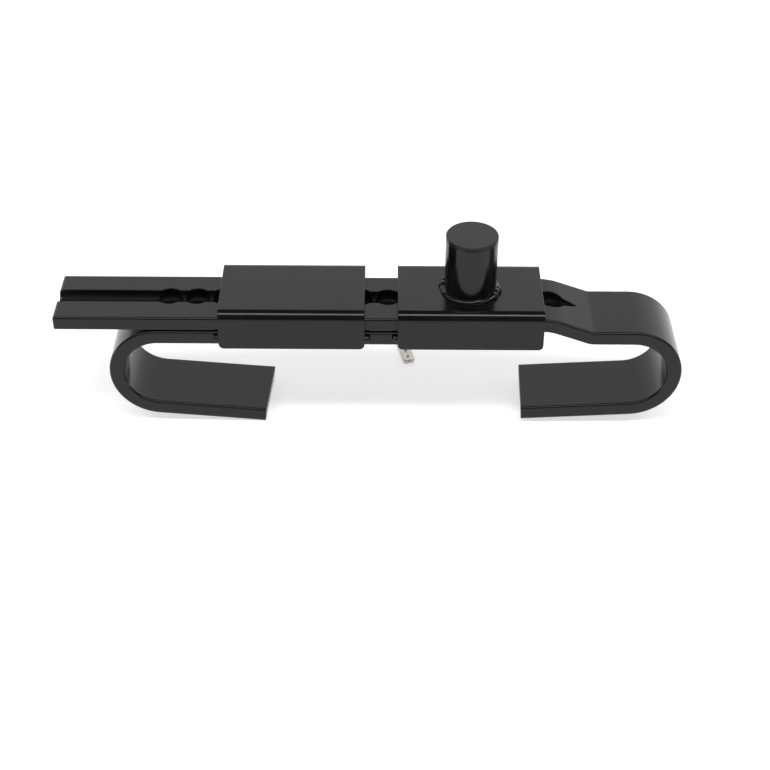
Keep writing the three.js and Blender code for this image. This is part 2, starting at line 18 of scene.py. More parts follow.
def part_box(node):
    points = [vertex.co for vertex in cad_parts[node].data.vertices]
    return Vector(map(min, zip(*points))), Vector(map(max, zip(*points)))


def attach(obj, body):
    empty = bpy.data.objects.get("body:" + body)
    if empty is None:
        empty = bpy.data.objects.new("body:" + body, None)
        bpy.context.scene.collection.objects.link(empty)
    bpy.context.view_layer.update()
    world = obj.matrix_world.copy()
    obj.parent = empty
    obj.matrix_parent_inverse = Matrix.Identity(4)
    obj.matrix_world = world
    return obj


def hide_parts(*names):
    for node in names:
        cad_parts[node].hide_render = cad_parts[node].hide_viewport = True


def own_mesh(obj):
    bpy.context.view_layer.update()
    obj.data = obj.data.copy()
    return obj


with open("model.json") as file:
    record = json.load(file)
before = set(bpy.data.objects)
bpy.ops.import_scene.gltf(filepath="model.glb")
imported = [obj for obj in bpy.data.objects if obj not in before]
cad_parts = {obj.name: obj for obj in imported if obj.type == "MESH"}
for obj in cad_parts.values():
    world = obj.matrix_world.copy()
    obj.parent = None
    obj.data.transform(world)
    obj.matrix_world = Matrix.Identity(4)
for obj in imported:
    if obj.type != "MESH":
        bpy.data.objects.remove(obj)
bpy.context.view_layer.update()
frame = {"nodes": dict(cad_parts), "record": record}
nodes = frame["nodes"]
MM = 0.001

# %% [markdown]
# ## Sizes that the finished surfaces share
# The frame's boxes give the outer sizes. What a box can't say, such as how round an edge is, is a
# named value here, in metres.

# %% Read sizes from the frame
slide_low, slide_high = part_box("sliding_hook_bar")
fixed_low, fixed_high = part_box("lower_hook_bar")
guide_low, guide_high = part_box("guide_sleeve")
lock_low, lock_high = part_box("lock_sleeve")
tube_low, tube_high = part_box("housing_tube")
cap_low, cap_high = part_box("weather_cap")

BAR_WIDTH = fixed_high.y - fixed_low.y
BAR_THICKNESS = fixed_high.z
BAR_EDGE = 1.1 * MM
SAWN_EDGE = 0.7 * MM
FILED_EDGE = 1.6 * MM
BOLT_X = (tube_low.x + tube_high.x) / 2
TUBE_RADIUS = (tube_high.x - tube_low.x) / 2
SLIDE_TOP = slide_high.z
FLOOR_Z = min(fixed_low.z, slide_low.z)
print(f"bar {BAR_WIDTH / MM:.1f} x {BAR_THICKNESS / MM:.1f} mm, tube radius {TUBE_RADIUS / MM:.2f} mm")

# %% [markdown]
# ## The camera first
# The lock is seen from a little under forty degrees above its front, through a moderately long lens.
# The camera's axes are written as a matrix, so its small roll is exact.

# %% Camera
CAMERA_TARGET = Vector((108.33 * MM, 0, -39.35 * MM))
CAMERA_DISTANCE = 820.0 * MM
CAMERA_PITCH = math.radians(37.472)
CAMERA_YAW = math.radians(-0.108)
CAMERA_ROLL = math.radians(0.396)
CAMERA_LENS = 73.41
CAMERA_SENSOR = 36.0
CAMERA_REACH = 50.0

camera_data = bpy.data.cameras.new("camera")
camera_data.lens = CAMERA_LENS
camera_data.sensor_width = CAMERA_SENSOR
camera_data.clip_end = CAMERA_REACH
camera = bpy.data.objects.new("camera", camera_data)
bpy.context.scene.collection.objects.link(camera)
back = Vector((
    math.sin(CAMERA_YAW) * math.cos(CAMERA_PITCH),
    -math.cos(CAMERA_YAW) * math.cos(CAMERA_PITCH),
    math.sin(CAMERA_PITCH),
))
level_right = Vector((0, 0, 1)).cross(back).normalized()
level_up = back.cross(level_right)
right = math.cos(CAMERA_ROLL) * level_right + math.sin(CAMERA_ROLL) * level_up
up = back.cross(right)
place = Matrix((right, up, back)).transposed().to_4x4()
place.translation = CAMERA_TARGET + CAMERA_DISTANCE * back
camera.matrix_world = place
bpy.context.scene.camera = camera
print("camera at", [round(value, 3) for value in place.translation])

# %% [markdown]
# ## Putting a numpy surface into a mesh
# Every new piece is a grid of points: rows run along the piece and columns run round it. One helper
# turns the grid into quads, closes it round, closes its ends, and turns its faces outwards.

# %% Grid helper
def face_normals_out(mesh):
    """Flips a closed mesh when its signed volume, the sum of corner triple products, is negative."""
    corners = np.empty(len(mesh.vertices) * 3)
    mesh.vertices.foreach_get("co", corners)
    corners = corners.reshape(-1, 3)
    mesh.calc_loop_triangles()
    triangles = np.empty(len(mesh.loop_triangles) * 3, dtype=np.int32)
    mesh.loop_triangles.foreach_get("vertices", triangles)
    a, b, c = corners[triangles.reshape(-1, 3)].transpose(1, 0, 2)
    volume = float(np.einsum("ij,ij->i", a, np.cross(b, c)).sum() / 6)
    if volume < 0:
        mesh.flip_normals()
    return abs(volume)


def mesh_from_faces(name, points, faces, sharp_degrees=34):
    """Makes an object from points and a list of face index arrays, merges doubles, smooths it."""
    mesh = bpy.data.meshes.new(name)
    mesh.from_pydata(points.reshape(-1, 3).tolist(), [], faces)
    builder = bmesh.new()
    builder.from_mesh(mesh)
    bmesh.ops.remove_doubles(builder, verts=builder.verts, dist=2e-6)
    bmesh.ops.dissolve_degenerate(builder, edges=builder.edges, dist=1e-6)
    builder.to_mesh(mesh)
    builder.free()
    mesh.validate()
    volume = face_normals_out(mesh)
    mesh.polygons.foreach_set("use_smooth", np.ones(len(mesh.polygons), dtype=bool))
    mesh.set_sharp_from_angle(angle=math.radians(sharp_degrees))
    piece = bpy.data.objects.new(name, mesh)
    bpy.context.scene.collection.objects.link(piece)
    print(f"{name}: {len(mesh.polygons)} faces, {volume * 1e6:.3f} cm3")
    return piece


def grid_faces(rows, columns, close_rows, close_columns, offset=0):
    """Quads between neighbours of a grid, wrapping round where a direction is closed."""
    i = np.arange(rows if close_rows else rows - 1)
    j = np.arange(columns if close_columns else columns - 1)
    i, j = np.meshgrid(i, j, indexing="ij")
    i2, j2 = (i + 1) % rows, (j + 1) % columns
    quads = np.stack([i * columns + j, i2 * columns + j, i2 * columns + j2, i * columns + j2], -1)
    return (quads.reshape(-1, 4) + offset).tolist()


def grid_piece(name, points, close_rows=False, close_columns=True, caps=True, sharp_degrees=34):
    """A grid of points (rows, columns, 3) as a closed piece, its end rows filled as flat caps."""
    rows, columns = points.shape[:2]
    faces = grid_faces(rows, columns, close_rows, close_columns)
    if caps and not close_rows:
        first = np.arange(columns)
        faces += [first.tolist(), (first + (rows - 1) * columns)[::-1].tolist()]
    return mesh_from_faces(name, points, faces, sharp_degrees)

# %% [markdown]
# ## Patterns that the finishes share
# Every finish is a few noises on the piece's own coordinates: one drives the colour, one the gloss,
# and one or two the bump. These helpers make a noise, map it on to a range or between two colours,
# and stack bump layers, so each finish below is only its own numbers.

# %% Node helpers
def new_material(name, colour, roughness, metallic=0.0, specular=0.5):
    """A material with one Principled shader whose uniform values sit on its own sockets."""
    material = bpy.data.materials.new(name)
    material.use_nodes = True
    shader = material.node_tree.nodes["Principled BSDF"]
    shader.inputs["Base Color"].default_value = (*colour, 1)
    shader.inputs["Roughness"].default_value = roughness
    shader.inputs["Metallic"].default_value = metallic
    shader.inputs["Specular IOR Level"].default_value = specular
    return material, material.node_tree, shader


def object_noise(tree, scale, detail=2.0, stretch=(1, 1, 1)):
    """Noise on Object coordinates, whose cells can be stretched along an axis."""
    coordinates = tree.nodes.new("ShaderNodeTexCoord")
    mapping = tree.nodes.new("ShaderNodeMapping")
    mapping.inputs["Scale"].default_value = stretch
    noise = tree.nodes.new("ShaderNodeTexNoise")
    noise.inputs["Scale"].default_value = scale
    noise.inputs["Detail"].default_value = detail
    tree.links.new(coordinates.outputs["Object"], mapping.inputs["Vector"])
    tree.links.new(mapping.outputs["Vector"], noise.inputs["Vector"])
    return noise.outputs["Fac"]


PATTERN_LOW, PATTERN_HIGH = 0.3, 0.7


def spread(tree, source, target, low, high, from_low=PATTERN_LOW, from_high=PATTERN_HIGH):
    """Maps a pattern on to a range of values, and feeds it to a socket."""
    node = tree.nodes.new("ShaderNodeMapRange")
    node.inputs["From Min"].default_value = from_low
    node.inputs["From Max"].default_value = from_high
    node.inputs["To Min"].default_value = low
    node.inputs["To Max"].default_value = high
    tree.links.new(source, node.inputs["Value"])
    tree.links.new(node.outputs["Result"], target)


def tint(tree, source, shader, dark, light):
    """Mixes two colours by a pattern into the shader's base colour."""
    ramp = tree.nodes.new("ShaderNodeValToRGB")
    stops = ((PATTERN_LOW, dark), (PATTERN_HIGH, light))
    for element, (place, colour) in zip(ramp.color_ramp.elements, stops):
        element.position = place
        element.color = (*colour, 1)
    tree.links.new(source, ramp.inputs["Fac"])
    tree.links.new(ramp.outputs["Color"], shader.inputs["Base Color"])


def add_bump(tree, shader, height, distance, under=None):
    """Adds a bump layer, on top of another when one is given."""
    bump = tree.nodes.new("ShaderNodeBump")
    bump.inputs["Distance"].default_value = distance
    bump.inputs["Strength"].default_value = 1.0
    tree.links.new(height, bump.inputs["Height"])
    if under is not None:
        tree.links.new(under, bump.inputs["Normal"])
    tree.links.new(bump.outputs["Normal"], shader.inputs["Normal"])
    return bump.outputs["Normal"]

# %% [markdown]
# ## Finishes: black powder coat
# Powder coat is a thin plastic skin baked on steel. It is nearly black, its gloss is satin, and its
# surface has the very shallow orange-peel of melted powder. A broad noise lets the colour drift and
# a finer one the gloss, as on a hand-sprayed batch. Rolling marks in the steel show faintly through
# as lengthwise streaks. Where the coat lies down a slot it is thinner, and goes rough and dull.

# %% The coat
COAT_DARK = (0.0030, 0.0031, 0.0034)
COAT_LIGHT = (0.0048, 0.0049, 0.0053)
COAT_SPECULAR = 0.35
RECESS_SPECULAR = 0.1
RECESS_ROUGHNESS = 0.3


MICRON = 0.001 * MM


def powder_coat(name, roughness=(0.15, 0.22), peel=6 * MICRON, streaks=2 * MICRON):
    """Black powder coat: peel bump, faint lengthwise rolling marks under it, drifting gloss."""
    material, tree, shader = new_material(name, COAT_DARK, roughness[0], specular=COAT_SPECULAR)
    tint(tree, object_noise(tree, 45, 3), shader, COAT_DARK, COAT_LIGHT)
    spread(tree, object_noise(tree, 70, 4), shader.inputs["Roughness"], *roughness)
    under = add_bump(tree, shader, object_noise(tree, 420, 2, (0.06, 1, 1)), streaks)
    add_bump(tree, shader, object_noise(tree, 900, 1.5), peel, under)
    return material


def dry_in_recess(material):
    """Lets the coat go rougher and duller down a slot, as a piece's recess attribute says."""
    tree = material.node_tree
    shader = tree.nodes["Principled BSDF"]
    depth = tree.nodes.new("ShaderNodeAttribute")
    depth.attribute_name = "recess"
    spread(tree, depth.outputs["Fac"], shader.inputs["Specular IOR Level"],
           COAT_SPECULAR, RECESS_SPECULAR, 0, 1)
    gloss = shader.inputs["Roughness"].links[0].from_socket
    rougher = tree.nodes.new("ShaderNodeMath")
    rougher.operation = "MULTIPLY_ADD"
    rougher.inputs[1].default_value = RECESS_ROUGHNESS
    tree.links.new(depth.outputs["Fac"], rougher.inputs[0])
    tree.links.new(gloss, rougher.inputs[2])
    tree.links.new(rougher.outputs["Value"], shader.inputs["Roughness"])
    return material


coat = powder_coat("satin_black_powder_coat")
slotted_coat = dry_in_recess(powder_coat("powder_coat_thin_in_slot"))
weld_coat = powder_coat("powder_coat_over_weld", (0.14, 0.24), 10 * MICRON, 0)
print("coats made:", coat.name, slotted_coat.name, weld_coat.name)

# %% [markdown]
# ## Finishes: the lock's own metals, rubber and the cap
# Turned steel and brass carry rings from the lathe, so a fine wave by height makes their bump. The key
# is nickel-plated and tumbled: bright, with short random scratches. Rubber is dull, with a soft
# mottle, and the cap is moulded plastic, a shade smoother than the coat.

# %% Metals
def turned_metal(name, dark, light, roughness):
    """Bare machined metal: colour drift, and turning rings that follow height."""
    material, tree, shader = new_material(name, light, roughness[0], metallic=1.0)
    tint(tree, object_noise(tree, 160, 3), shader, dark, light)
    rings = object_noise(tree, 1500, 2, (0.08, 0.08, 1))
    spread(tree, rings, shader.inputs["Roughness"], *roughness)
    add_bump(tree, shader, rings, 10 * MICRON)
    return material


def tumbled_nickel(name):
    """Bright nickel with fine crossing scratches and slightly yellowed low spots."""
    bright, yellowed = (0.6, 0.58, 0.54), (0.45, 0.43, 0.39)
    material, tree, shader = new_material(name, bright, 0.2, metallic=1.0)
    tint(tree, object_noise(tree, 220, 3), shader, yellowed, bright)
    scratches = object_noise(tree, 1100, 4, (1, 0.12, 1))
    spread(tree, scratches, shader.inputs["Roughness"], 0.16, 0.34)
    add_bump(tree, shader, scratches, 12 * MICRON)
    return material


def matt_rubber(name):
    """Dull black nitrile with a soft mottle."""
    material, tree, shader = new_material(name, (0.012, 0.012, 0.012), 0.7, specular=0.3)
    mottle = object_noise(tree, 700, 3)
    tint(tree, mottle, shader, (0.009, 0.009, 0.009), (0.018, 0.018, 0.018))
    add_bump(tree, shader, mottle, 20 * MICRON)
    return material


steel = turned_metal("zinc_plated_steel", (0.48, 0.49, 0.51), (0.62, 0.63, 0.64), (0.24, 0.4))
brass = turned_metal("turned_brass", (0.62, 0.44, 0.19), (0.78, 0.6, 0.31), (0.22, 0.36))
wire = turned_metal("drawn_spring_wire", (0.36, 0.37, 0.39), (0.5, 0.51, 0.53), (0.25, 0.38))
nickel = tumbled_nickel("tumbled_nickel")
rubber = matt_rubber("matt_nitrile")
cap_plastic = powder_coat("moulded_cap_plastic", (0.2, 0.27), 5 * MICRON, 0)
print("metals, rubber and cap plastic made")

# %% [markdown]
# ## The line that a flat bar follows
# Both bars were bent from flat bar, so each one is a rectangle with slightly round edges carried
# along a centre line of straight lengths and arcs. The same line as the frame's: the arcs give
# the surface its smoothness, which the faceted frame doesn't have.

# %% Centre lines
HOOK_RADIUS = 18.3 * MM + BAR_THICKNESS / 2
SEAT_INSET = 5 * MM
FIXED_FLARE = math.radians(4.9)
FIXED_TIP_X = 48.5 * MM
FIXED_SKEW = math.radians(3.7)
FIXED_END_X = fixed_high.x
SLIDING_FLARE = math.radians(3.4)
SLIDING_TIP_X = 178.7 * MM
SLIDING_SKEW = math.radians(1.9)
JOGGLE_X = 185.5 * MM
JOGGLE_ANGLE = math.radians(20)
FIRST_RADIUS = 28 * MM
SECOND_RADIUS = 10 * MM
JOGGLE_DROP = 7.5 * MM
SLIDING_BEND_X = slide_high.x - HOOK_RADIUS - BAR_THICKNESS / 2


def bar_line(start, heading, legs):
    """Piecewise line: each leg is (length, radius, turn); a straight leg has radius None.

    Position on an arc is its centre plus the radius turned by the distance over the radius."""
    spans = []
    x, z = start
    run = 0.0
    for length, radius, turn in legs:
        if radius is not None:
            length = abs(turn) * radius
        spans.append((run, length, x, z, heading, radius, turn))
        if radius is None:
            x += length * math.cos(heading)
            z += length * math.sin(heading)
        else:
            side = math.copysign(1, turn)
            cx, cz = x - side * radius * math.sin(heading), z + side * radius * math.cos(heading)
            heading += turn
            x, z = cx + side * radius * math.sin(heading), cz - side * radius * math.cos(heading)
        run += length
    return spans, run


def on_line(spans, distances):
    """x, z and heading at whole arrays of distances along a bar line."""
    x = np.zeros_like(distances)
    z = np.zeros_like(distances)
    angle = np.zeros_like(distances)
    for run, length, x0, z0, heading, radius, turn in spans:
        here = distances >= run - 1e-9
        along = distances[here] - run
        if radius is None:
            x[here] = x0 + along * math.cos(heading)
            z[here] = z0 + along * math.sin(heading)
            angle[here] = heading
        else:
            side = math.copysign(1, turn)
            turned = heading + side * along / radius
            x[here] = x0 + side * radius * (np.sin(turned) - math.sin(heading))
            z[here] = z0 - side * radius * (np.cos(turned) - math.cos(heading))
            angle[here] = turned
    return x, z, angle


fixed_bend_end = -SEAT_INSET - HOOK_RADIUS * math.sin(FIXED_FLARE)
fixed_spans, fixed_length = bar_line((FIXED_END_X, BAR_THICKNESS / 2), math.pi, [
    (FIXED_END_X + SEAT_INSET, None, 0),
    (0, HOOK_RADIUS, math.pi - FIXED_FLARE),
    ((FIXED_TIP_X - fixed_bend_end) / math.cos(FIXED_FLARE), None, 0),
])
bends_drop = (FIRST_RADIUS + SECOND_RADIUS) * (1 - math.cos(JOGGLE_ANGLE))
ramp = (JOGGLE_DROP - bends_drop) / math.sin(JOGGLE_ANGLE)
joggle_run = (FIRST_RADIUS + SECOND_RADIUS) * math.sin(JOGGLE_ANGLE) + ramp * math.cos(JOGGLE_ANGLE)
sliding_bend_end = SLIDING_BEND_X + HOOK_RADIUS * math.sin(SLIDING_FLARE)
sliding_spans, sliding_length = bar_line((slide_low.x, SLIDE_TOP - BAR_THICKNESS / 2), 0.0, [
    (JOGGLE_X - slide_low.x, None, 0),
    (0, FIRST_RADIUS, -JOGGLE_ANGLE),
    (ramp, None, 0),
    (0, SECOND_RADIUS, JOGGLE_ANGLE),
    (SLIDING_BEND_X - JOGGLE_X - joggle_run, None, 0),
    (0, HOOK_RADIUS, SLIDING_FLARE - math.pi),
    ((sliding_bend_end - SLIDING_TIP_X) / math.cos(SLIDING_FLARE), None, 0),
])
print(f"bar lengths {fixed_length / MM:.0f} and {sliding_length / MM:.0f} mm")

# %% [markdown]
# ## Carrying a section along a line
# A section is a closed loop of points across the bar. Cut ends of a coated bar are never knife sharp,
# so the first and last sections are drawn in a little, in the steps of a quarter circle.

# %% Sections
def inset_loop(loops, amounts):
    """Moves each loop's points inwards along their own normals, by one amount for each loop."""
    ahead = np.roll(loops, -1, axis=1) - loops
    behind = loops - np.roll(loops, 1, axis=1)
    def unit(v):
        return v / np.maximum(np.linalg.norm(v, axis=-1, keepdims=True), 1e-12)
    tangent = unit(unit(ahead) + unit(behind))
    normal = np.stack([-tangent[..., 1], tangent[..., 0]], -1)
    area = 0.5 * (loops[..., 0] * np.roll(loops[..., 1], -1, 1)
                  - loops[..., 1] * np.roll(loops[..., 0], -1, 1)).sum(1)
    return loops + normal * (np.sign(area) * amounts)[:, None, None]


def end_distances(radius, steps=4):
    """How far along, and how far in, each ring of a rounded end lies."""
    angle = np.linspace(0, math.pi / 2, steps + 1)
    return radius * (1 - np.cos(angle)), radius * (1 - np.sin(angle))


def hold_flats(loops, reach=0.12 * MM, long=1.2 * MM):
    """Adds a point close to each end of every long straight stretch, so shading stays flat on it.

    A stretch is long when it is longer than a limit at every station."""
    ahead = np.roll(loops, -1, axis=1) - loops
    length = np.linalg.norm(ahead, axis=-1, keepdims=True)
    step = ahead / np.maximum(length, 1e-12) * reach
    is_long = length.min((0, 2)) > long
    columns = np.stack([loops, loops + step, loops + ahead - step], 2)
    keep = np.stack([np.ones_like(is_long), is_long, is_long], -1)
    return columns.reshape(len(loops), -1, 2)[:, keep.ravel()]


def with_round_ends(distances, total, start_radius, end_radius):
    """Adds the rings of both rounded ends to a list of distances, with their insets."""
    along, inwards = end_distances(start_radius)
    far_along, far_inwards = end_distances(end_radius)
    inside = (distances > start_radius + 0.2 * MM) & (distances < total - end_radius - 0.2 * MM)
    middle = distances[inside]
    middle = np.concatenate([[start_radius + 0.1 * MM], middle, [total - end_radius - 0.1 * MM]])
    middle = np.unique(middle)
    stations = np.concatenate([along, middle, total - far_along[::-1]])
    insets = np.concatenate([inwards, np.zeros(len(middle)), far_inwards[::-1]])
    return stations, insets


def clipped_loop(loops, amounts):
    """Rounds a bar's outer end edges: each loop is clipped to a rectangle smaller by its amount."""
    half = np.array([BAR_WIDTH, BAR_THICKNESS]) / 2 - amounts[:, None, None]
    return np.clip(loops, -half, half)


def sawn_tip(points, stations, total, skew, reach=15 * MM):
    """Shears the last stretch along X, so that the tip is cut out of square: x grows by y tan."""
    share = np.clip(1 - (total - stations) / reach, 0, 1)[:, None]
    points[..., 0] += share * points[..., 1] * math.tan(skew)
    return points


def corner_arc(cy, cz, radius, start, end, steps):
    """Points of an arc in the section's own plane."""
    angle = np.linspace(start, end, steps + 1)
    return np.stack([cy + radius * np.cos(angle), cz + radius * np.sin(angle)], -1)


def bar_section(width, thickness, edge, steps=4):
    """A rectangle with round corners, centred on the line, as a counter-clockwise loop."""
    half_w, half_t = width / 2 - edge, thickness / 2 - edge
    quarter = math.pi / 2
    return np.concatenate([
        corner_arc(half_w, half_t, edge, 0, quarter, steps),
        corner_arc(-half_w, half_t, edge, quarter, 2 * quarter, steps),
        corner_arc(-half_w, -half_t, edge, 2 * quarter, 3 * quarter, steps),
        corner_arc(half_w, -half_t, edge, 3 * quarter, 4 * quarter, steps),
    ])


def carry(spans, stations, loops):
    """Places section loops (y, height above the line) at stations along a bar line."""
    x, z, angle = on_line(spans, stations)
    height = loops[..., 1]
    return np.stack([
        x[:, None] - height * np.sin(angle)[:, None],
        loops[..., 0],
        z[:, None] + height * np.cos(angle)[:, None],
    ], -1)

# %% [markdown]
# ## The fixed hook bar
# The plain one of the two: a constant section, a half-circle bend and a leg that flares open. Stations
# stand closer together in the bend than on the straights.

# %% Fixed hook bar
def stations_for(spans, straight_step=6 * MM, bend_step=0.7 * MM):
    """Distances along a bar line: sparse on straights, dense in bends."""
    parts = []
    for run, length, *_, radius, _turn in spans:
        step = straight_step if radius is None else bend_step
        count = max(2, int(round(length / step)) + 1)
        parts.append(run + np.linspace(0, length, count)[:-1])
    run, length = spans[-1][:2]
    parts.append(np.array([run + length]))
    return np.concatenate(parts)


fixed_stations, fixed_insets = with_round_ends(stations_for(fixed_spans), fixed_length,
                                               SAWN_EDGE, SAWN_EDGE)
plain = bar_section(BAR_WIDTH, BAR_THICKNESS, BAR_EDGE)
fixed_loops = clipped_loop(np.repeat(plain[None], len(fixed_stations), 0), fixed_insets)
fixed_points = carry(fixed_spans, fixed_stations, hold_flats(fixed_loops))
fixed_bar = grid_piece("fixed_hook_bar",
                       sawn_tip(fixed_points, fixed_stations, fixed_length, FIXED_SKEW))

# %% [markdown]
# ## The sliding hook bar
# Its top face has a round-bottomed groove and a row of drilled holes a little wider than the
# groove, so the groove's edges are scalloped, and both lie a little to the rear of the middle. Each
# hole's floor turns up to its wall in a round corner, as a bull-nosed cutter leaves it. The cutters
# stand upright, so everything about them is a function of the place along the bar: the hole's half
# width is the side of a right triangle whose long side is the hole's radius. The groove's floor is
# level, so it runs out to a point where the joggle carries the face below it: its half width follows
# the depth that is left, to a power. Powder reaches the slot poorly, so its depth is kept as an
# attribute for the coat.

# %% Groove and holes
HOLE_RADIUS = 6.7 * MM
HOLE_PITCH = 13.65 * MM
HOLE_DEPTH = 6.3 * MM
HOLE_FLOOR = SLIDE_TOP - HOLE_DEPTH
HOLE_CORNER = 3 * MM
HOLES_BEFORE, HOLES_AFTER = 11, 3
HOLE_X = BOLT_X + HOLE_PITCH * np.arange(-HOLES_BEFORE, HOLES_AFTER + 1)
GROOVE_HALF = 5 * MM
GROOVE_CENTRE = SLIDE_TOP
SLOT_Y = 0.7 * MM
FLOOR_COLUMNS, ARC_COLUMNS, WALL_COLUMNS = 11, 9, 4
SLOT_COLUMNS = FLOOR_COLUMNS + ARC_COLUMNS + WALL_COLUMNS
RUN_OUT_POWER = 0.85
EDGE_BREAK = 0.35 * MM


def slotted_half_section(x, surface_z, slope, inside):
    """Half of the grooved section, from the middle of the top to the middle of the underside.

    Columns: the hole's floor, groove arc, wall with a broken edge, round corners, underside.
    Past its flat middle the floor rises as c minus root(c2 - d2), d being the distance past it."""
    away = np.abs(x[:, None] - HOLE_X).min(1)
    hole = np.sqrt(np.maximum(HOLE_RADIUS**2 - away**2, 0)) * inside
    share = np.clip(1 - (GROOVE_CENTRE - surface_z) / GROOVE_HALF, 0, 1)
    open_angle = np.arcsin(share**RUN_OUT_POWER)
    angle = open_angle[:, None] * np.linspace(0, 1, ARC_COLUMNS)
    arc_y = np.maximum(GROOVE_HALF * np.sin(angle), hole[:, None])
    arc_z = GROOVE_CENTRE - GROOVE_HALF * np.cos(angle)
    floor_y = hole[:, None] * np.sin(np.linspace(0, math.pi / 2, FLOOR_COLUMNS))
    past = np.hypot(away[:, None], floor_y) - (HOLE_RADIUS - HOLE_CORNER)
    rise = HOLE_CORNER - np.sqrt(HOLE_CORNER**2 - np.clip(past, 0, HOLE_CORNER) ** 2)
    groove_z = GROOVE_CENTRE - np.sqrt(np.maximum(GROOVE_HALF**2 - floor_y**2, 0))
    floor_z = np.where(inside[:, None], np.minimum(HOLE_FLOOR + rise, groove_z), arc_z[:, :1])
    arc_z = np.maximum(arc_z, floor_z[:, -1:])
    rim = np.maximum(GROOVE_HALF * np.sin(open_angle), hole)
    depth = np.maximum(surface_z[:, None] - np.column_stack([floor_z, arc_z]), 0)
    depth = depth / np.cos(slope)[:, None]
    across = np.column_stack([floor_y, arc_y])
    broken = np.minimum(EDGE_BREAK, 0.5 * depth.max(1))[:, None]
    depth = np.maximum(depth, broken)
    wall_y = rim[:, None] + broken * np.array([0, 0.13, 0.5, 1])
    wall_depth = broken * np.array([1, 0.5, 0.13, 0])
    half_w, half_t, quarter = BAR_WIDTH / 2 - BAR_EDGE, BAR_THICKNESS / 2 - BAR_EDGE, math.pi / 2
    outer = np.concatenate([
        corner_arc(half_w, half_t, BAR_EDGE, quarter, 0, 4),
        corner_arc(half_w, -half_t, BAR_EDGE, 0, -quarter, 4),
        [[0, -BAR_THICKNESS / 2]],
    ])
    y = np.column_stack([across, wall_y, np.repeat(outer[None, :, 0], len(x), 0)])
    top = BAR_THICKNESS / 2
    height = np.column_stack([top - depth, top - wall_depth, np.repeat(outer[None, :, 1], len(x), 0)])
    return np.stack([y, height], -1)


def mirrored_loop(half):
    """Closes a half section with its mirror image; the two middle points are used once."""
    mirror = half[:, -2:0:-1].copy()
    mirror[..., 0] *= -1
    return np.concatenate([half, mirror], 1)


JOGGLE_LENGTH = 30 * MM
JOGGLE_END_X = JOGGLE_X + 40 * MM
hole_steps = HOLE_RADIUS * np.sin(np.linspace(-math.pi / 2, math.pi / 2, 29))
hole_stations = (HOLE_X[:, None] + hole_steps - slide_low.x).ravel()
doubled = np.concatenate([
    HOLE_X - HOLE_RADIUS - 1e-6 - slide_low.x,
    HOLE_X + HOLE_RADIUS + 1e-6 - slide_low.x,
])
joggle_stations = JOGGLE_X - slide_low.x + np.arange(0, JOGGLE_LENGTH, 0.3 * MM)
sliding_all = np.unique(np.concatenate([
    stations_for(sliding_spans), hole_stations, doubled, joggle_stations]))
sliding_stations, sliding_insets = with_round_ends(sliding_all, sliding_length,
                                                   FILED_EDGE, SAWN_EDGE)
line_x, line_z, line_angle = on_line(sliding_spans, sliding_stations)
surface_x = line_x - BAR_THICKNESS / 2 * np.sin(line_angle)
surface_z = line_z + BAR_THICKNESS / 2 * np.cos(line_angle)
before_hook = sliding_stations < JOGGLE_END_X - slide_low.x
surface_z = np.where(before_hook, surface_z, 0.0)
nearest_hole = np.abs(surface_x[:, None] - HOLE_X).min(1)
in_hole = before_hook & (nearest_hole <= HOLE_RADIUS + 5e-7)
half_sections = slotted_half_section(surface_x, surface_z,
                                     np.where(before_hook, line_angle, 0), in_hole)
slotted_loops = mirrored_loop(half_sections)
slotted_loops[:, :SLOT_COLUMNS, 0] += SLOT_Y
slotted_loops[:, 1 - SLOT_COLUMNS:, 0] += SLOT_Y
sliding_loops = clipped_loop(slotted_loops[:, ::-1], sliding_insets)
sliding_points = carry(sliding_spans, sliding_stations, hold_flats(sliding_loops))
sliding_bar = grid_piece("sliding_hook_bar_finished",
                         sawn_tip(sliding_points, sliding_stations, sliding_length, SLIDING_SKEW),
                         sharp_degrees=40)


def mark_recess(piece, full_depth=1 * MM):
    """Stores how far each point lies down the slot: 0 on the face, 1 from a full depth down."""
    points = np.empty(len(piece.data.vertices) * 3)
    piece.data.vertices.foreach_get("co", points)
    x, y, z = points.reshape(-1, 3).T
    depth = np.interp(x, surface_x[before_hook], surface_z[before_hook]) - z
    in_slot = (np.abs(y - SLOT_Y) < HOLE_RADIUS + EDGE_BREAK) & (depth < HOLE_DEPTH + 0.1 * MM)
    in_slot &= (x > slide_low.x + FILED_EDGE) & (x < JOGGLE_END_X)
    recess = np.clip(depth / full_depth, 0, 1) * in_slot
    piece.data.attributes.new("recess", "FLOAT", "POINT").data.foreach_set("value", recess)
    return recess


recess = mark_recess(sliding_bar)
print("points in the slot:", int((recess > 0).sum()), "of", len(recess))

# %% [markdown]
# ## The two sleeves
# Each sleeve is a channel pressed from thick plate, open downwards, with generously round long edges.
# The lower corners of its legs are round too, so the legs' height is a function of the distance
# from the nearer end: it follows a quarter circle.

# %% Sleeves
SLEEVE_WALL = 4.7 * MM
SLEEVE_EDGE = 4.8 * MM
SLEEVE_CORNER = 2.6 * MM
SLEEVE_SHARP = 0.35 * MM


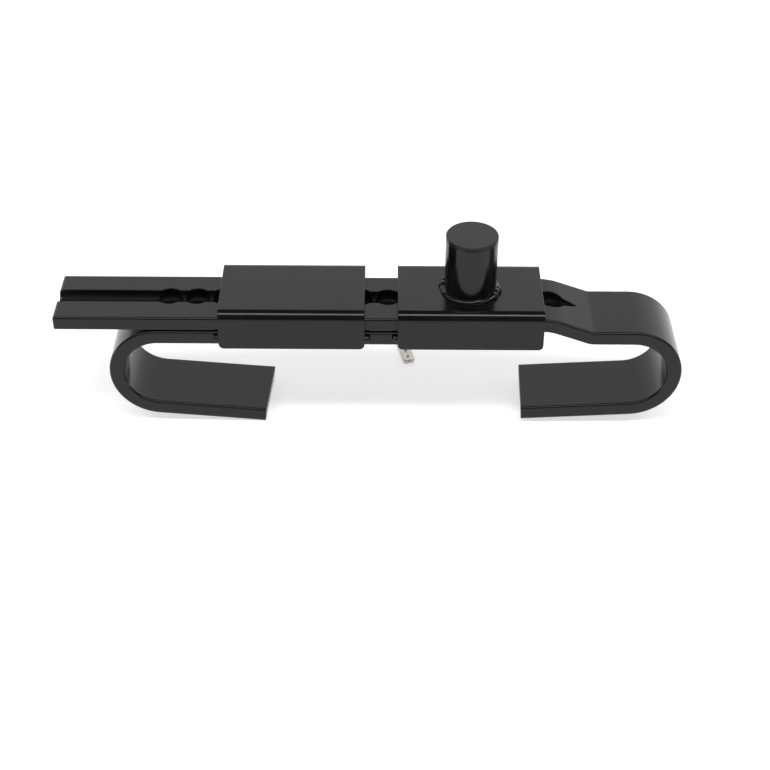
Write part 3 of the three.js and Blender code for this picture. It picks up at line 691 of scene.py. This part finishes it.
def sleeve_loop(low, high, bottoms):
    """The channel's section, one loop for each station, with its leg ends at the given heights."""
    outer = (high.y - low.y) / 2
    inner = outer - SLEEVE_WALL
    side, top, ceiling = outer - SLEEVE_EDGE, high.z - SLEEVE_EDGE, high.z - SLEEVE_WALL
    quarter = math.pi / 2
    right_foot = [(inner, 1), (inner + SLEEVE_SHARP, 0), (outer - SLEEVE_SHARP, 0),
                  (outer - 0.3 * SLEEVE_SHARP, 0.3), (outer, 1)]
    left_foot = [(-y, rise) for y, rise in right_foot[::-1]]
    crown = np.concatenate([corner_arc(side, top, SLEEVE_EDGE, 0, quarter, 12),
                            corner_arc(-side, top, SLEEVE_EDGE, quarter, 2 * quarter, 12)])
    return np.array([np.concatenate([
        np.array(right_foot[2:]) * (1, SLEEVE_SHARP) + (0, bottom),
        crown,
        np.array(left_foot) * (1, SLEEVE_SHARP) + (0, bottom),
        [[-inner, ceiling], [inner, ceiling]],
        np.array(right_foot[:2]) * (1, SLEEVE_SHARP) + (0, bottom),
    ]) for bottom in bottoms])


def sleeve_piece(name, low, high):
    """Carries the channel along X. The leg's lower end rises as c minus root(c2 - (c - d)2)."""
    length = high.x - low.x
    near = SLEEVE_CORNER * (1 - np.cos(np.linspace(0, math.pi / 2, 9)))
    distances = np.unique(np.concatenate([near, np.linspace(near[-1], length - near[-1], 12),
                                          length - near]))
    stations, insets = with_round_ends(distances, length, SLEEVE_SHARP, SLEEVE_SHARP)
    nearest = np.minimum(np.minimum(stations, length - stations), SLEEVE_CORNER)
    rise = SLEEVE_CORNER - np.sqrt(SLEEVE_CORNER**2 - (SLEEVE_CORNER - nearest) ** 2)
    loops = hold_flats(inset_loop(sleeve_loop(low, high, low.z + rise), insets))
    x = np.repeat(low.x + stations[:, None], loops.shape[1], 1)
    return grid_piece(name, np.stack([x, loops[..., 0], loops[..., 1]], -1), sharp_degrees=30)


guide_piece = sleeve_piece("guide_sleeve_finished", guide_low, guide_high)
lock_piece = sleeve_piece("lock_sleeve_finished", lock_low, lock_high)

# %% [markdown]
# The lock sleeve has one more feature: the hole that the bolt comes through. A round hole in a flat
# top is a simple thing to subtract, so a cutter does it and the result is kept as plain mesh.

# %% The bolt's hole in the lock sleeve
LATHE_STEPS = 96
TUBE_STEPS = 128
BOLT_HOLE_STEPS = 64


def lathe_points(profile, segments=LATHE_STEPS, centre=(BOLT_X, 0)):
    """Turns a profile of (radius, height) round an upright axis: x = r cos a, y = r sin a."""
    angle = np.linspace(0, 2 * math.pi, segments, endpoint=False)
    radius, height = np.asarray(profile, float).T
    return np.stack([
        centre[0] + radius[None] * np.cos(angle)[:, None],
        centre[1] + radius[None] * np.sin(angle)[:, None],
        np.repeat(height[None], segments, 0),
    ], -1)


def cut_with(piece, cutter):
    """Subtracts cutter from piece and keeps the result as the piece's own mesh."""
    boolean = piece.modifiers.new("hole", "BOOLEAN")
    boolean.operation = "DIFFERENCE"
    boolean.solver = "EXACT"
    boolean.object = cutter
    result = bpy.data.meshes.new_from_object(piece.evaluated_get(bpy.context.evaluated_depsgraph_get()))
    piece.modifiers.clear()
    piece.data = result
    bpy.data.objects.remove(cutter)
    result.polygons.foreach_set("use_smooth", np.ones(len(result.polygons), dtype=bool))
    result.set_sharp_from_angle(angle=math.radians(30))


BOLT_HOLE = 5.56 * MM
cutter_low, cutter_high = lock_high.z - 6 * MM, lock_high.z + 2 * MM
cutter_profile = [(0, cutter_low), (BOLT_HOLE, cutter_low), (BOLT_HOLE, cutter_high), (0, cutter_high)]
hole_cutter = grid_piece("hole_cutter", lathe_points(cutter_profile, BOLT_HOLE_STEPS),
                         close_rows=True, close_columns=False, caps=False)
cut_with(lock_piece, hole_cutter)
print("lock sleeve with hole:", len(lock_piece.data.polygons), "faces")

# %% [markdown]
# ## The round housing
# The housing is a length of tube with a faced end. The weather cap is a separate moulding: a plate
# with a rounded rim, over a skirt that plugs the bore, with an O-ring in its groove. A hairline
# of shadow shows between the plate and the tube.

# %% Housing tube and cap
def profile_arc(cr, cz, radius, start_degrees, end_degrees, steps=6):
    """Points of an arc in a turned profile, as (radius, height) pairs."""
    angle = np.radians(np.linspace(start_degrees, end_degrees, steps + 1))
    return [(cr + radius * math.cos(a), cz + radius * math.sin(a)) for a in angle]


TUBE_BORE = 10 * MM
RIM = 0.45 * MM
tube_profile = [(TUBE_BORE, tube_low.z), (TUBE_RADIUS, tube_low.z)]
tube_profile += profile_arc(TUBE_RADIUS - RIM, tube_high.z - RIM, RIM, 0, 90)
tube_profile += profile_arc(TUBE_BORE + RIM, tube_high.z - RIM, RIM, 90, 180)
tube_profile = hold_flats(np.array([tube_profile]))[0]
tube_piece = grid_piece("housing_tube_finished", lathe_points(tube_profile, TUBE_STEPS),
                        close_rows=True, caps=False)

CAP_EDGE = 0.5 * MM
CAP_SKIRT = 9.8 * MM
CAP_INSIDE = 8 * MM
cap_under = tube_high.z
ring_low, ring_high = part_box("cap_o_ring")
ring_z = (ring_low.z + ring_high.z) / 2
ring_wire = (ring_high.z - ring_low.z) / 2
ring_radius = (ring_high.x - ring_low.x) / 2 - ring_wire
groove_r = ring_radius - ring_wire - 0.03 * MM
cap_profile = [(0, cap_under), (CAP_INSIDE - 0.5 * MM, cap_under), (CAP_INSIDE, cap_under - 0.5 * MM),
               (CAP_INSIDE, cap_low.z + 0.2 * MM), (CAP_INSIDE + 0.2 * MM, cap_low.z),
               (CAP_SKIRT - 0.4 * MM, cap_low.z), (CAP_SKIRT, cap_low.z + 0.4 * MM),
               (CAP_SKIRT, ring_z - ring_wire), (groove_r, ring_z - ring_wire),
               (groove_r, ring_z + ring_wire), (CAP_SKIRT, ring_z + ring_wire),
               (CAP_SKIRT, cap_under + 0.1 * MM), (TUBE_RADIUS - 0.25 * MM, cap_under + 0.1 * MM),
               (TUBE_RADIUS, cap_under + 0.3 * MM)]
cap_profile += profile_arc(TUBE_RADIUS - CAP_EDGE, cap_high.z - CAP_EDGE, CAP_EDGE, 0, 90, 8)
cap_profile += [(TUBE_RADIUS - CAP_EDGE - 0.1 * MM, cap_high.z), (0, cap_high.z)]
cap_piece = grid_piece("weather_cap_finished", lathe_points(cap_profile, TUBE_STEPS),
                       close_rows=True, close_columns=False, caps=False)

ring_angle = np.linspace(0, 2 * math.pi, 20, endpoint=False)
ring_profile = np.stack([ring_radius + ring_wire * np.cos(ring_angle),
                         ring_z + ring_wire * np.sin(ring_angle)], -1)
ring_piece = grid_piece("cap_o_ring_finished", lathe_points(ring_profile, LATHE_STEPS),
                        close_rows=True, caps=False)

# %% [markdown]
# ## Weld beads
# A bead is laid down as a row of overlapping puddles. Seen along its path its thickness swells once
# for each puddle, and a hand-laid bead also wanders. The one round the housing's foot is a fillet
# whose radius swells with the angle; the short ones are rounded lumps.

# %% The bead round the housing
def puddles(position, count, sharpness=0.6):
    """Overlapping puddles: the absolute sine, raised to a power that flattens each one's top."""
    return np.abs(np.sin(math.pi * count * position)) ** sharpness


def wander(position, random, waves=5, typical=1.6):
    """A sum of a few slow sines with random sizes and phases, between about -1 and 1."""
    total = np.zeros_like(position)
    for wave in range(1, waves + 1):
        total += random.normal() / wave * np.sin(2 * math.pi * (wave * position + random.random()))
    return total / typical


BEAD_STEPS = 360
BLOBS = 7
LEAST_SWELL, LEAST_LIFT = 0.5, 0.45
BULGE = 0.85


def ring_bead(name, inner, low_z, width, height, count, seed):
    """A fillet round a tube. Its outside is an ellipse quarter whose size follows the puddles."""
    random = np.random.default_rng(seed)
    around = np.linspace(0, 1, BEAD_STEPS, endpoint=False)
    pace = around + 0.02 * wander(around, random)
    ripple = puddles(pace, count)
    lumps = sum(np.exp(-((np.mod(around - place + 0.5, 1) - 0.5) / spread_of) ** 2)
                for place, spread_of in zip(random.random(BLOBS), 0.012 + 0.014 * random.random(BLOBS)))
    swell = 0.68 + 0.07 * ripple + 0.1 * wander(around, random) + 0.28 * lumps
    lift = 0.62 + 0.06 * ripple + 0.12 * wander(around, random) + 0.3 * lumps
    swell, lift = np.clip(swell, LEAST_SWELL, 1), np.clip(lift, LEAST_LIFT, 1)
    bow = np.linspace(0, math.pi / 2, 13)
    radius = inner + width * swell[:, None] * np.cos(bow) ** BULGE
    level = low_z + height * lift[:, None] * np.sin(bow) ** BULGE
    radius = np.column_stack([np.full(len(around), inner), radius])
    level = np.column_stack([np.full(len(around), low_z), level])
    angle = 2 * math.pi * around[:, None]
    points = np.stack([BOLT_X + radius * np.cos(angle), radius * np.sin(angle), level], -1)
    return grid_piece(name, points, close_rows=True, caps=False, sharp_degrees=70)


WELD_GAP = 0.03 * MM
WELD_PUDDLES = 13
WELD_SEED = 4
weld_low, weld_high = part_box("housing_weld")
ring_weld = ring_bead("housing_weld_finished", TUBE_RADIUS + WELD_GAP, weld_low.z,
                      (weld_high.x - weld_low.x) / 2 - TUBE_RADIUS, weld_high.z - weld_low.z,
                      WELD_PUDDLES, WELD_SEED)

# %% [markdown]
# The short beads are straight, and taper to nothing at both ends. Three kinds of place take them: the
# upright corners at the sleeves' ends, and the step under each leg. Their boxes say where they lie.

# %% The short beads
PUDDLE_PITCH = 3 * MM
END_PUDDLES = 2
FIRST_SEED = 10


def straight_bead(name, start, end, down, out, size, count, seed):
    """A bead between two points whose section is a quarter ellipse between two directions.

    start and end lie in the corner; down and out point along the two surfaces it joins."""
    random = np.random.default_rng(seed)
    along = np.linspace(0, 1, 14 * count + 1)
    taper = np.sqrt(np.clip(1 - np.abs(2 * along - 1) ** 5, 0, 1))
    swell = taper * (0.78 + 0.16 * puddles(along, count) + 0.08 * wander(along, random))
    swell = np.clip(swell, 0.02, 1)
    bow = np.linspace(0, math.pi / 2, 11)
    first = swell[:, None] * np.cos(bow) ** 0.8 * size[0]
    second = swell[:, None] * np.sin(bow) ** 0.8 * size[1]
    first = np.column_stack([np.zeros(len(along)), first])
    second = np.column_stack([np.zeros(len(along)), second])
    start, end, down, out = (np.asarray(v, float) for v in (start, end, down, out))
    spine = start + along[:, None] * (end - start)
    points = spine[:, None] + first[..., None] * down + second[..., None] * out
    return grid_piece(name, points, sharp_degrees=70)


def end_weld(node, side, outward, seed):
    """The upright bead where a sleeve's end meets the fixed bar's edge."""
    low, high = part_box(node)
    x = low.x if outward > 0 else high.x
    y = low.y if side > 0 else high.y
    return straight_bead(f"{node}_finished", (x, y, low.z), (x, y, high.z), (outward, 0, 0),
                         (0, side, 0), (high.x - low.x, high.y - low.y), END_PUDDLES, seed)


def seam_weld(node, side, seed):
    """The bead in the step between a leg's lower edge and the fixed bar's edge."""
    low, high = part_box(node)
    y = low.y if side > 0 else high.y
    return straight_bead(f"{node}_finished", (low.x, y, high.z), (high.x, y, high.z), (0, 0, -1),
                         (0, side, 0), (high.z - low.z, high.y - low.y),
                         max(3, int((high.x - low.x) / PUDDLE_PITCH)), seed)


small_welds = {}
for label, side in (("front", -1), ("rear", 1)):
    for stem, outward in (("guide_sleeve_left_end_weld", -1), ("guide_sleeve_right_end_weld", 1),
                          ("lock_sleeve_end_weld", -1)):
        node = f"{stem}_{label}"
        small_welds[node] = end_weld(node, side, outward, FIRST_SEED + len(small_welds))
    for stem in ("guide_sleeve_seam_weld", "lock_sleeve_seam_weld"):
        node = f"{stem}_{label}"
        small_welds[node] = seam_weld(node, side, FIRST_SEED + len(small_welds))
print("short beads:", len(small_welds))

# %% [markdown]
# ## The key
# A small flat key with dimples. Its outline is seen whole from the middle of the hole in its bow, so
# the key is one ring-shaped surface: rows fan out from the hole to the outline over the top face,
# round the edge, and come back underneath. The dimples are dents in the height.

# %% Key outline and surface
KEY_TURN = math.radians(13)
KEY_TIP = np.array([121.6, 31.2]) * MM
BLADE_LENGTH, BLADE_HALF, KEY_THICKNESS = 26 * MM, 3.2 * MM, 2.2 * MM
BOW_RADIUS, BOW_HOLE = 10.5 * MM, 2.6 * MM
BOW_Y = BLADE_LENGTH + BOW_RADIUS - 1 * MM
HOLE_Y = BOW_Y + BOW_RADIUS / 2
DIMPLES = np.array([3.9, 6.5, 9.1, 11.7]) * MM
DIMPLE_DEPTHS = np.array([0.7, 0.1, 0.45, 0.3]) * MM
DIMPLE_RADIUS = 0.9 * MM
DIMPLE_STEEPNESS = 1.8


def key_outline():
    """Half the outline from the notch in the tip to the top of the bow, then its mirror image."""
    neck = math.asin(BLADE_HALF / BOW_RADIUS)
    notch = np.stack([np.linspace(0, 0.9, 5), np.linspace(0.9, 0, 5)], -1) * MM
    t = np.linspace(0, math.pi / 2, 13)
    nose = np.stack([0.9 * MM + (BLADE_HALF - 0.9 * MM) * np.sin(t), 2.4 * MM * (1 - np.cos(t))], -1)
    edge_y = np.linspace(2.4 * MM, BOW_Y - BOW_RADIUS * math.cos(neck), 40)[1:]
    edge = np.stack([np.full(len(edge_y), BLADE_HALF), edge_y], -1)
    angle = np.linspace(neck - math.pi / 2, math.pi / 2, 48)[1:]
    bow = np.stack([BOW_RADIUS * np.cos(angle), BOW_Y + BOW_RADIUS * np.sin(angle)], -1)
    half = np.concatenate([notch, nose[1:], edge, bow])
    mirror = half[-2:0:-1] * np.array([-1, 1])
    return np.concatenate([half, mirror])


def key_surface():
    """Both faces of the key. Near an edge the height follows a quarter circle of the edge radius."""
    outline = key_outline()
    centre = np.array([0, HOLE_Y])
    ray = outline - centre
    direction = ray / np.linalg.norm(ray, axis=1, keepdims=True)
    rim = centre + BOW_HOLE * direction
    edge = 0.35 * MM
    reach = np.linalg.norm(outline - rim, axis=1)
    corner = edge * (1 - np.cos(np.linspace(0, math.pi / 2, 6)))
    middle = np.linspace(0, 1, 90)[1:-1]
    inner = edge + (reach[:, None] - 2 * edge) * middle
    along = np.concatenate([np.repeat(corner[None], len(reach), 0), inner,
                            reach[:, None] - corner[::-1]], 1)
    near = np.minimum(along, reach[:, None] - along)
    flat = rim[:, None] + direction[:, None] * along[..., None]
    half = KEY_THICKNESS / 2
    rounding = edge - np.sqrt(np.maximum(edge**2 - np.maximum(edge - near, 0) ** 2, 0))
    height = half - rounding
    away = np.sqrt(flat[..., 0, None] ** 2 + (flat[..., 1, None] - DIMPLES) ** 2)
    dent = np.minimum(np.clip(1 - away / DIMPLE_RADIUS, 0, 1) * DIMPLE_STEEPNESS, 1)
    height = height - (dent * DIMPLE_DEPTHS).max(-1)
    top = np.concatenate([flat, height[..., None]], -1)
    under = top[:, ::-1] * np.array([1, 1, -1])
    return np.concatenate([top, under], 1)


def place_key(points):
    """Turns the key about its tip, lays it on the floor and moves its tip into place."""
    x = KEY_TIP[0] + points[..., 0] * math.cos(KEY_TURN) - points[..., 1] * math.sin(KEY_TURN)
    y = KEY_TIP[1] + points[..., 0] * math.sin(KEY_TURN) + points[..., 1] * math.cos(KEY_TURN)
    return np.stack([x, y, points[..., 2] + FLOOR_Z + KEY_THICKNESS / 2], -1)


key_piece = grid_piece("key_finished", place_key(key_surface()), close_rows=True, caps=False,
                       sharp_degrees=50)

# %% [markdown]
# ## Springs
# A coil is a small circle carried along a helix. Its ends are closed flat. The return spring stands
# upright round the bolt; the tumbler springs lie across the barrel.

# %% Coils
def coil_points(centre, radius, rise, turns, wire_radius, axis, steps_a_turn=48, sides=10):
    """Helix: two coordinates are cosine and sine of the turn, the third rises with it."""
    turn = np.linspace(0, 2 * math.pi * turns, int(turns * steps_a_turn) + 1)
    flat = np.stack([np.cos(turn), np.sin(turn)], -1)
    pitch = rise / turn[-1]
    angle = np.linspace(0, 2 * math.pi, sides, endpoint=False)
    outward = radius + wire_radius * np.cos(angle)
    lean = pitch / radius
    ring = outward[None, :, None] * flat[:, None]
    sideways = np.stack([-np.sin(turn), np.cos(turn)], -1)
    ring = ring - lean * wire_radius * np.sin(angle)[None, :, None] * sideways[:, None]
    height = pitch * turn[:, None] + wire_radius * np.sin(angle)
    if axis == "Z":
        local = np.concatenate([ring, height[..., None]], -1)
    else:
        local = np.stack([ring[..., 1], height, ring[..., 0]], -1)
    return local + np.asarray(centre)


SPRING_WIRE = 0.3 * MM
SPRING_TURNS = 4
TUMBLER_WIRE = 0.1 * MM
TUMBLER_TURNS = 3
spring_low, spring_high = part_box("return_spring")
spring_length = spring_high.z - spring_low.z
spring_radius = spring_high.x - BOLT_X - SPRING_WIRE
spring_points = coil_points((BOLT_X, 0, spring_low.z + SPRING_WIRE), spring_radius,
                            spring_length - 2 * SPRING_WIRE, SPRING_TURNS, SPRING_WIRE, "Z")
spring_piece = grid_piece("return_spring_finished", spring_points)

tumbler_springs = {}
for index in range(1, 5):
    node = f"tumbler_spring_{index}"
    low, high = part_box(node)
    middle = (BOLT_X, low.y + TUMBLER_WIRE, (low.z + high.z) / 2)
    points = coil_points(middle, (high.z - low.z) / 2 - TUMBLER_WIRE, high.y - low.y - 2 * TUMBLER_WIRE,
                         TUMBLER_TURNS, TUMBLER_WIRE, "Y", steps_a_turn=24, sides=8)
    tumbler_springs[node] = grid_piece(f"{node}_finished", points)
print("springs:", 1 + len(tumbler_springs))

# %% [markdown]
# ## The machined pieces inside
# The frame's own shapes are right for the shell, barrel, plug, bolt and pins, but their edges are knife
# sharp. A merged copy with a small bevel breaks them, as a lathe hand would with a file.

# %% Edge-broken copies
def edge_broken(node, width):
    """A merged copy of a CAD node with a two-step bevel on its sharp edges."""
    mesh = nodes[node].data.copy()
    builder = bmesh.new()
    builder.from_mesh(mesh)
    bmesh.ops.remove_doubles(builder, verts=builder.verts, dist=1e-6)
    builder.to_mesh(mesh)
    builder.free()
    mesh.materials.clear()
    mesh.polygons.foreach_set("use_smooth", np.ones(len(mesh.polygons), dtype=bool))
    mesh.set_sharp_from_angle(angle=math.radians(30))
    piece = bpy.data.objects.new(f"{node}_finished", mesh)
    bpy.context.scene.collection.objects.link(piece)
    bevel = piece.modifiers.new("edge_break", "BEVEL")
    bevel.width = width
    bevel.segments = 2
    bevel.limit_method = "ANGLE"
    bevel.angle_limit = math.radians(40)
    bevel.harden_normals = False
    return piece


machined = {
    "lock_shell": steel, "shell_roll_pin": steel, "barrel_stop_pin": steel, "barrel": brass,
    "plug": brass, "plug_circlip": steel, "bolt": steel, "bolt_cross_pin": steel,
}
machined |= {f"key_pin_{index}": brass for index in range(1, 5)}
machined |= {f"driver_pin_{index}": steel for index in range(1, 5)}
BEVEL = 0.06 * MM
machined_pieces = {node: edge_broken(node, BEVEL) for node in machined}
print("machined pieces:", len(machined_pieces))

# %% [markdown]
# ## Hanging every piece on its body
# Each finished piece stands for one node of the frame: it hides that node, rides on the same body and
# takes the same finish slot, so one table joins node, piece and material.

# %% Ride, replace and colour
body_of_node = {node: body for body, members in frame["record"]["behaviour"]["bodies"].items()
                for node in members}


def stands_for(piece, node, material):
    """Gives a finished piece its node, its body and its material."""
    piece.data.materials.clear()
    piece.data.materials.append(material)
    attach(piece, body_of_node[node])
    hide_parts(node)


coated = {"lower_hook_bar": fixed_bar, "sliding_hook_bar": sliding_bar, "guide_sleeve": guide_piece,
          "lock_sleeve": lock_piece, "housing_tube": tube_piece}
for node, piece in coated.items():
    stands_for(piece, node, slotted_coat if piece is sliding_bar else coat)
for node, piece in ({"housing_weld": ring_weld} | small_welds).items():
    stands_for(piece, node, weld_coat)
stands_for(cap_piece, "weather_cap", cap_plastic)
stands_for(ring_piece, "cap_o_ring", rubber)
stands_for(key_piece, "key", nickel)
stands_for(spring_piece, "return_spring", wire)
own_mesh(spring_piece)
for node, piece in tumbler_springs.items():
    stands_for(piece, node, wire)
for node, piece in machined_pieces.items():
    stands_for(piece, node, machined[node])
print("nodes stood for:", len(coated) + len(small_welds) + 5 + len(tumbler_springs) + len(machined))

# %% [markdown]
# ## Floor and light
# Satin black shows its surroundings more than its colour. The floor is a sheet of white acrylic lit
# a little from below, which fills the front faces and softens the shadow. A broad pale wall behind
# fills the tops. One narrow overhead strip draws the thin bright line along each rounded edge,
# and the front is left dark, so that line has something to stand against.

# %% Stage
FLOOR_REACH = 6.0
corners = [(x * FLOOR_REACH, y * FLOOR_REACH, FLOOR_Z) for x, y in ((-1, -1), (1, -1), (1, 1), (-1, 1))]
floor_mesh = bpy.data.meshes.new("floor")
floor_mesh.from_pydata(corners, [], [(0, 1, 2, 3)])
floor = bpy.data.objects.new("floor", floor_mesh)
bpy.context.scene.collection.objects.link(floor)
FLOOR_WHITE = (0.62, 0.62, 0.62)
FLOOR_GLOW = 0.66
floor_material, _, floor_shader = new_material("lit_acrylic", FLOOR_WHITE, 0.9, specular=0.1)
floor_shader.inputs["Emission Color"].default_value = (1, 1, 1, 1)
floor_shader.inputs["Emission Strength"].default_value = FLOOR_GLOW
floor_mesh.materials.append(floor_material)


def softbox(name, centre, target, size, radiance):
    """A rectangular light facing target, of even radiance: power is radiance times pi times area."""
    data = bpy.data.lights.new(name, "AREA")
    data.shape = "RECTANGLE"
    data.size, data.size_y = size
    data.energy = radiance * math.pi * size[0] * size[1]
    light = bpy.data.objects.new(name, data)
    bpy.context.scene.collection.objects.link(light)
    direction = Vector(target) - Vector(centre)
    turn = direction.to_track_quat("-Z", "Y").to_matrix().to_4x4()
    light.matrix_world = Matrix.Translation(centre) @ turn
    return light


middle_x = CAMERA_TARGET.x
WALL_DISTANCE, WALL_HEIGHT, WALL_SIZE, WALL_RADIANCE = 1.9, 1.05, (4.6, 2.2), 0.97
STRIP_DISTANCE, STRIP_LEAN, STRIP_SIZE, STRIP_RADIANCE = 1.4, math.radians(20), (3.0, 0.26), 8.5
SIDE_PLACE, SIDE_SIZE, SIDE_RADIANCE = (1.9, 0.1, 1.3), (1.3, 1.6), 0.9
WORLD_STRENGTH = 0.1
softbox("back_wall", (middle_x, WALL_DISTANCE, WALL_HEIGHT), (middle_x, 0, WALL_HEIGHT),
        WALL_SIZE, WALL_RADIANCE)
strip_centre = (middle_x, -STRIP_DISTANCE * math.sin(STRIP_LEAN), STRIP_DISTANCE * math.cos(STRIP_LEAN))
softbox("overhead_strip", strip_centre, (middle_x, 0, 0), STRIP_SIZE, STRIP_RADIANCE)
for side in (-1, 1):
    softbox(f"side_box_{side}", (middle_x + side * SIDE_PLACE[0], *SIDE_PLACE[1:]), (middle_x, 0, 0),
            SIDE_SIZE, SIDE_RADIANCE)

world = bpy.data.worlds.new("studio")
world.use_nodes = True
background = world.node_tree.nodes["Background"]
background.inputs["Color"].default_value = (1, 1, 1, 1)
background.inputs["Strength"].default_value = WORLD_STRENGTH
bpy.context.scene.world = world
bpy.context.scene.view_settings.view_transform = "Standard"
print("floor at", round(FLOOR_Z, 4))
